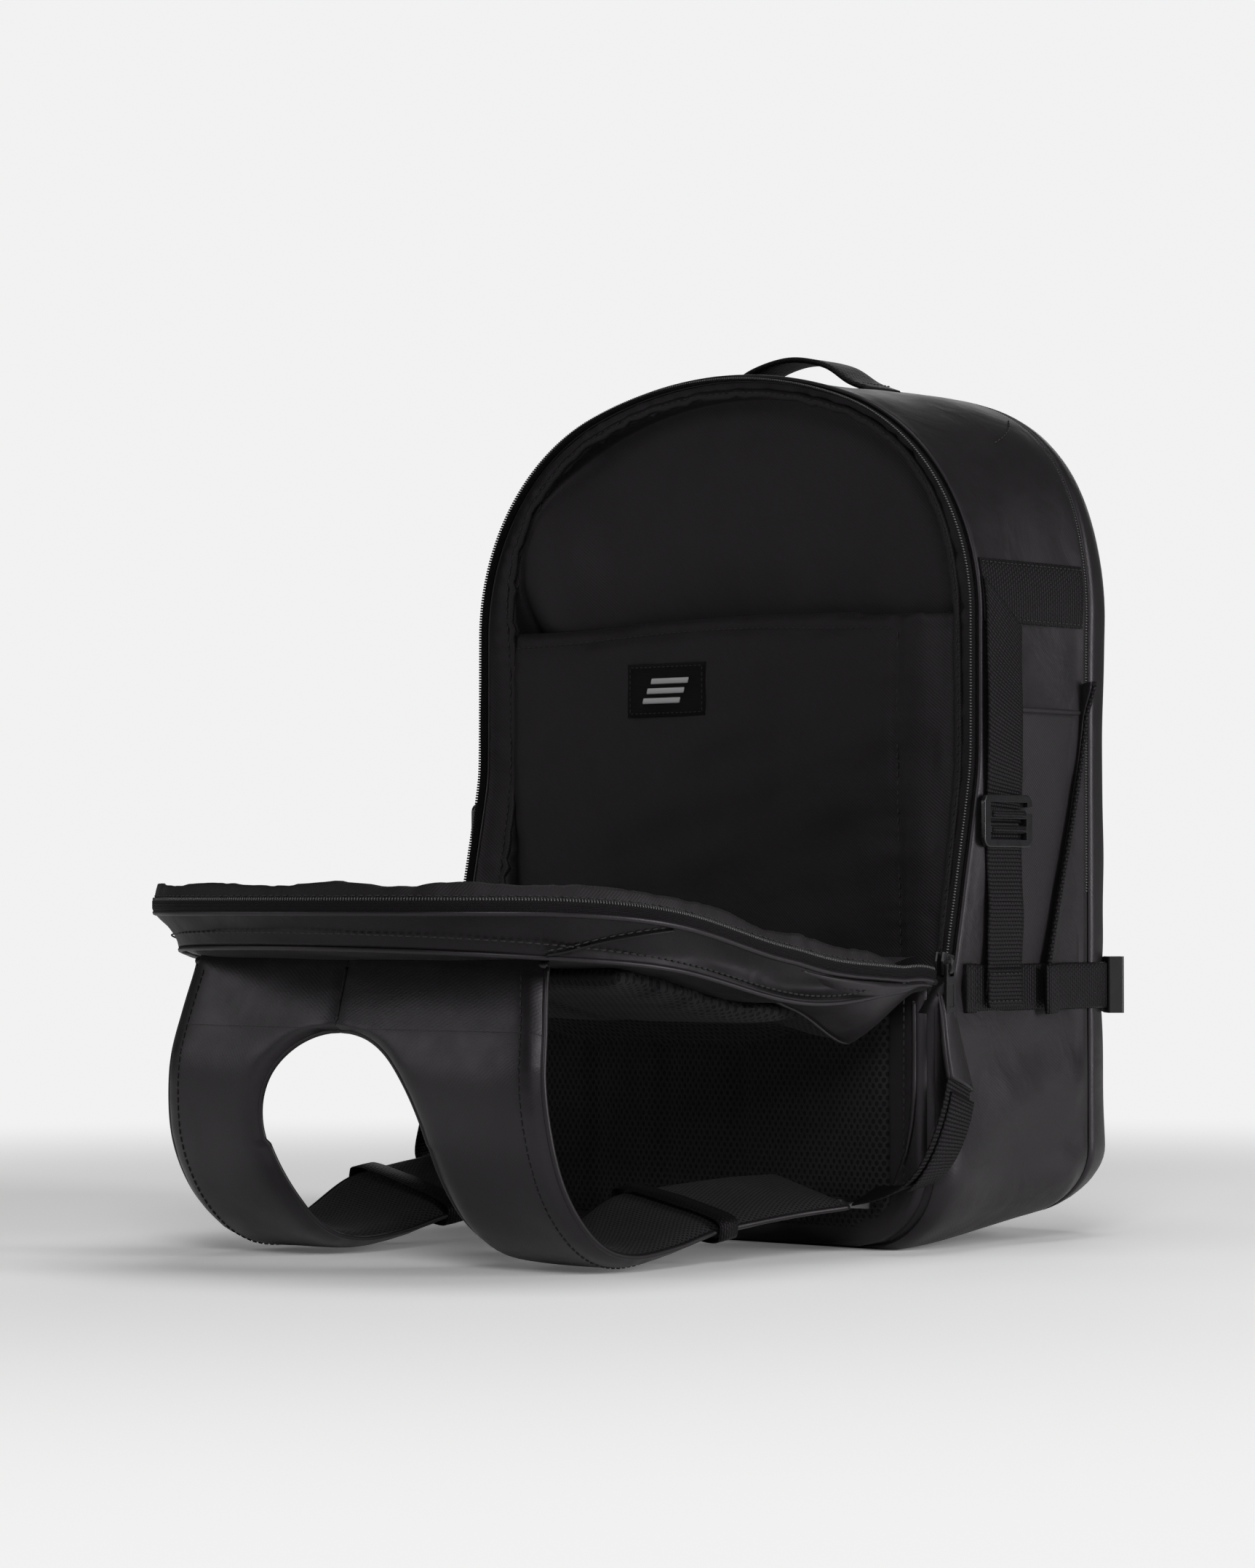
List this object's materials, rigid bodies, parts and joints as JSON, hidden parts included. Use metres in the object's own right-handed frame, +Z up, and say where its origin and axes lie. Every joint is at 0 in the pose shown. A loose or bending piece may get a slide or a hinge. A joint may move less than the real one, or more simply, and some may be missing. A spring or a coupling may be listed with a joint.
{
  "type": "racket backpack",
  "caption": "Arched racket backpack whose zipped back panel, carrying the shoulder harness, folds down to open the racket compartment.",
  "frame": {"origin": "on the floor, under the middle of the bag's body", "axes": "+Z up, +X to the right of someone who faces the harness side, -Y out of the harness side; the back panel is folded down at rest"},
  "size_m": [0.3664, 0.5296, 0.495],
  "materials": {
    "coated_leather": "satin, fine pebble grain",
    "mesh": "open spacer mesh",
    "lining": "fine twill",
    "board": "matte",
    "binding": "grosgrain tape",
    "zip": "coil on woven tape",
    "webbing": "ribbed nylon",
    "buckle_plastic": "fine satin",
    "dark_metal": "black, half gloss",
    "label": "woven patch"
  },
  "bodies": {
    "shell": {"side_gusset": "coated_leather", "base_panel": "coated_leather", "outer_panel": "coated_leather", "toe_panel": "coated_leather", "lumbar_pad": "mesh", "divider_padding": "lining", "divider_board": "board", "racket_pocket": "lining", "pocket_label": "label", "rim_binding": "binding", "rim_zip_chain": "zip", "main_zip_chain": "zip", "grab_handle": "webbing", "side_band_right": "webbing", "side_band_left": "webbing", "compression_strap_right": "webbing", "compression_strap_left": "webbing", "front_strap_right": "webbing", "front_strap_left": "webbing", "side_strap_upper_right": "webbing", "side_strap_upper_left": "webbing", "side_strap_lower_right": "webbing", "side_strap_lower_left": "webbing", "side_pocket_right": "coated_leather", "side_pocket_left": "coated_leather", "strap_anchor_right": "coated_leather", "strap_anchor_left": "coated_leather", "buckle_socket_right": "buckle_plastic", "buckle_socket_left": "buckle_plastic"},
    "flap": {"flap_gusset": "coated_leather", "flap_face": "coated_leather", "flap_foam": "lining", "back_pad": "mesh", "flap_binding": "binding", "flap_zip_chain": "zip"},
    "harness": {"harness_yoke": "coated_leather", "shoulder_strap_right": "coated_leather", "shoulder_strap_left": "coated_leather"},
    "strap_right": {"strap_end_right": "coated_leather", "strap_keeper_right": "webbing", "strap_adjuster_right": "buckle_plastic"},
    "strap_left": {"strap_end_left": "coated_leather", "strap_keeper_left": "webbing", "strap_adjuster_left": "buckle_plastic"},
    "webbing_right": {"anchor_webbing_right": "webbing"},
    "webbing_left": {"anchor_webbing_left": "webbing"},
    "rim_slider_right": {"rim_slider_right": "dark_metal"},
    "rim_pull_right": {"rim_pull_right": "dark_metal"},
    "hook_buckle_right": {"hook_buckle_right": "dark_metal"},
    "buckle_plug_right": {"buckle_plug_right": "buckle_plastic"},
    "rim_slider_left": {"rim_slider_left": "dark_metal"},
    "rim_pull_left": {"rim_pull_left": "dark_metal"},
    "hook_buckle_left": {"hook_buckle_left": "dark_metal"},
    "buckle_plug_left": {"buckle_plug_left": "buckle_plastic"},
    "main_slider_upper": {"main_slider_upper": "dark_metal"},
    "main_pull_upper": {"main_pull_upper": "dark_metal"},
    "main_slider_lower": {"main_slider_lower": "dark_metal"},
    "main_pull_lower": {"main_pull_lower": "dark_metal"}
  },
  "joints": [
    {"name": "flap_hinge", "type": "hinge", "parent": "shell", "child": "flap", "pos_m": [0, -0.094, 0.142], "axis": [1, 0, 0], "range_deg": [-90, 0]},
    {"name": "harness_swing", "type": "hinge", "parent": "flap", "child": "harness", "pos_m": [0, -0.34, 0.154], "axis": [1, 0, 0], "range_deg": [0, 54.8]},
    {"name": "strap_bend_right", "type": "hinge", "parent": "harness", "child": "strap_right", "pos_m": [0.11, -0.3, 0.008], "axis": [1, 0, 0], "range_deg": [-60.1, 0]},
    {"name": "strap_bend_left", "type": "hinge", "parent": "harness", "child": "strap_left", "pos_m": [-0.11, -0.3, 0.008], "axis": [1, 0, 0], "range_deg": [-60.1, 0]},
    {"name": "webbing_swing_right", "type": "hinge", "parent": "shell", "child": "webbing_right", "pos_m": [0.1775, -0.075, 0.09], "axis": [1, 0, 0], "range_deg": [-31.9, 0]},
    {"name": "webbing_swing_left", "type": "hinge", "parent": "shell", "child": "webbing_left", "pos_m": [-0.1775, -0.075, 0.09], "axis": [1, 0, 0], "range_deg": [-31.9, 0]},
    {"name": "rim_slider_right", "type": "slide", "parent": "shell", "child": "rim_slider_right", "axis": [0, 0.216, 0.9764], "range_m": [0, 0.08]},
    {"name": "rim_pull_right", "type": "hinge", "parent": "rim_slider_right", "child": "rim_pull_right", "pos_m": [0.1775, -0.08436, 0.151], "axis": [0, -1, 0], "range_deg": [0, 150]},
    {"name": "rim_slider_left", "type": "slide", "parent": "shell", "child": "rim_slider_left", "axis": [0, 0.216, 0.9764], "range_m": [0, 0.08]},
    {"name": "rim_pull_left", "type": "hinge", "parent": "rim_slider_left", "child": "rim_pull_left", "pos_m": [-0.1775, -0.08436, 0.151], "axis": [0, 1, 0], "range_deg": [0, 150]},
    {"name": "main_slider_upper", "type": "slide", "parent": "shell", "child": "main_slider_upper", "axis": [0, 0, 1], "range_m": [0, 0.065]},
    {"name": "main_pull_upper", "type": "hinge", "parent": "main_slider_upper", "child": "main_pull_upper", "pos_m": [-0.1797, 0.044, 0.262], "axis": [0, 1, 0], "range_deg": [0, 150]},
    {"name": "main_slider_lower", "type": "slide", "parent": "shell", "child": "main_slider_lower", "axis": [0, 0, -1], "range_m": [0, 0.024]},
    {"name": "main_pull_lower", "type": "hinge", "parent": "main_slider_lower", "child": "main_pull_lower", "pos_m": [-0.1797, 0.044, 0.222], "axis": [0, 1, 0], "range_deg": [0, 150]},
    {"name": "hook_buckle_right", "type": "slide", "parent": "shell", "child": "hook_buckle_right", "axis": [0, 0, 1], "range_m": [-0.02, 0.02]},
    {"name": "buckle_plug_right", "type": "slide", "parent": "shell", "child": "buckle_plug_right", "axis": [-0.7071, 0.7071, 0], "range_m": [0, 0.025]},
    {"name": "hook_buckle_left", "type": "slide", "parent": "shell", "child": "hook_buckle_left", "axis": [0, 0, 1], "range_m": [-0.02, 0.02]},
    {"name": "buckle_plug_left", "type": "slide", "parent": "shell", "child": "buckle_plug_left", "axis": [0.7071, 0.7071, 0], "range_m": [0, 0.025]}
  ],
  "couplings": [
    {"joint": "harness_swing", "follows": "flap_hinge", "ratio": -0.609},
    {"joint": "strap_bend_right", "follows": "flap_hinge", "ratio": 0.667},
    {"joint": "strap_bend_left", "follows": "flap_hinge", "ratio": 0.667},
    {"joint": "webbing_swing_right", "follows": "flap_hinge", "ratio": 0.354},
    {"joint": "webbing_swing_left", "follows": "flap_hinge", "ratio": 0.354}
  ]
}
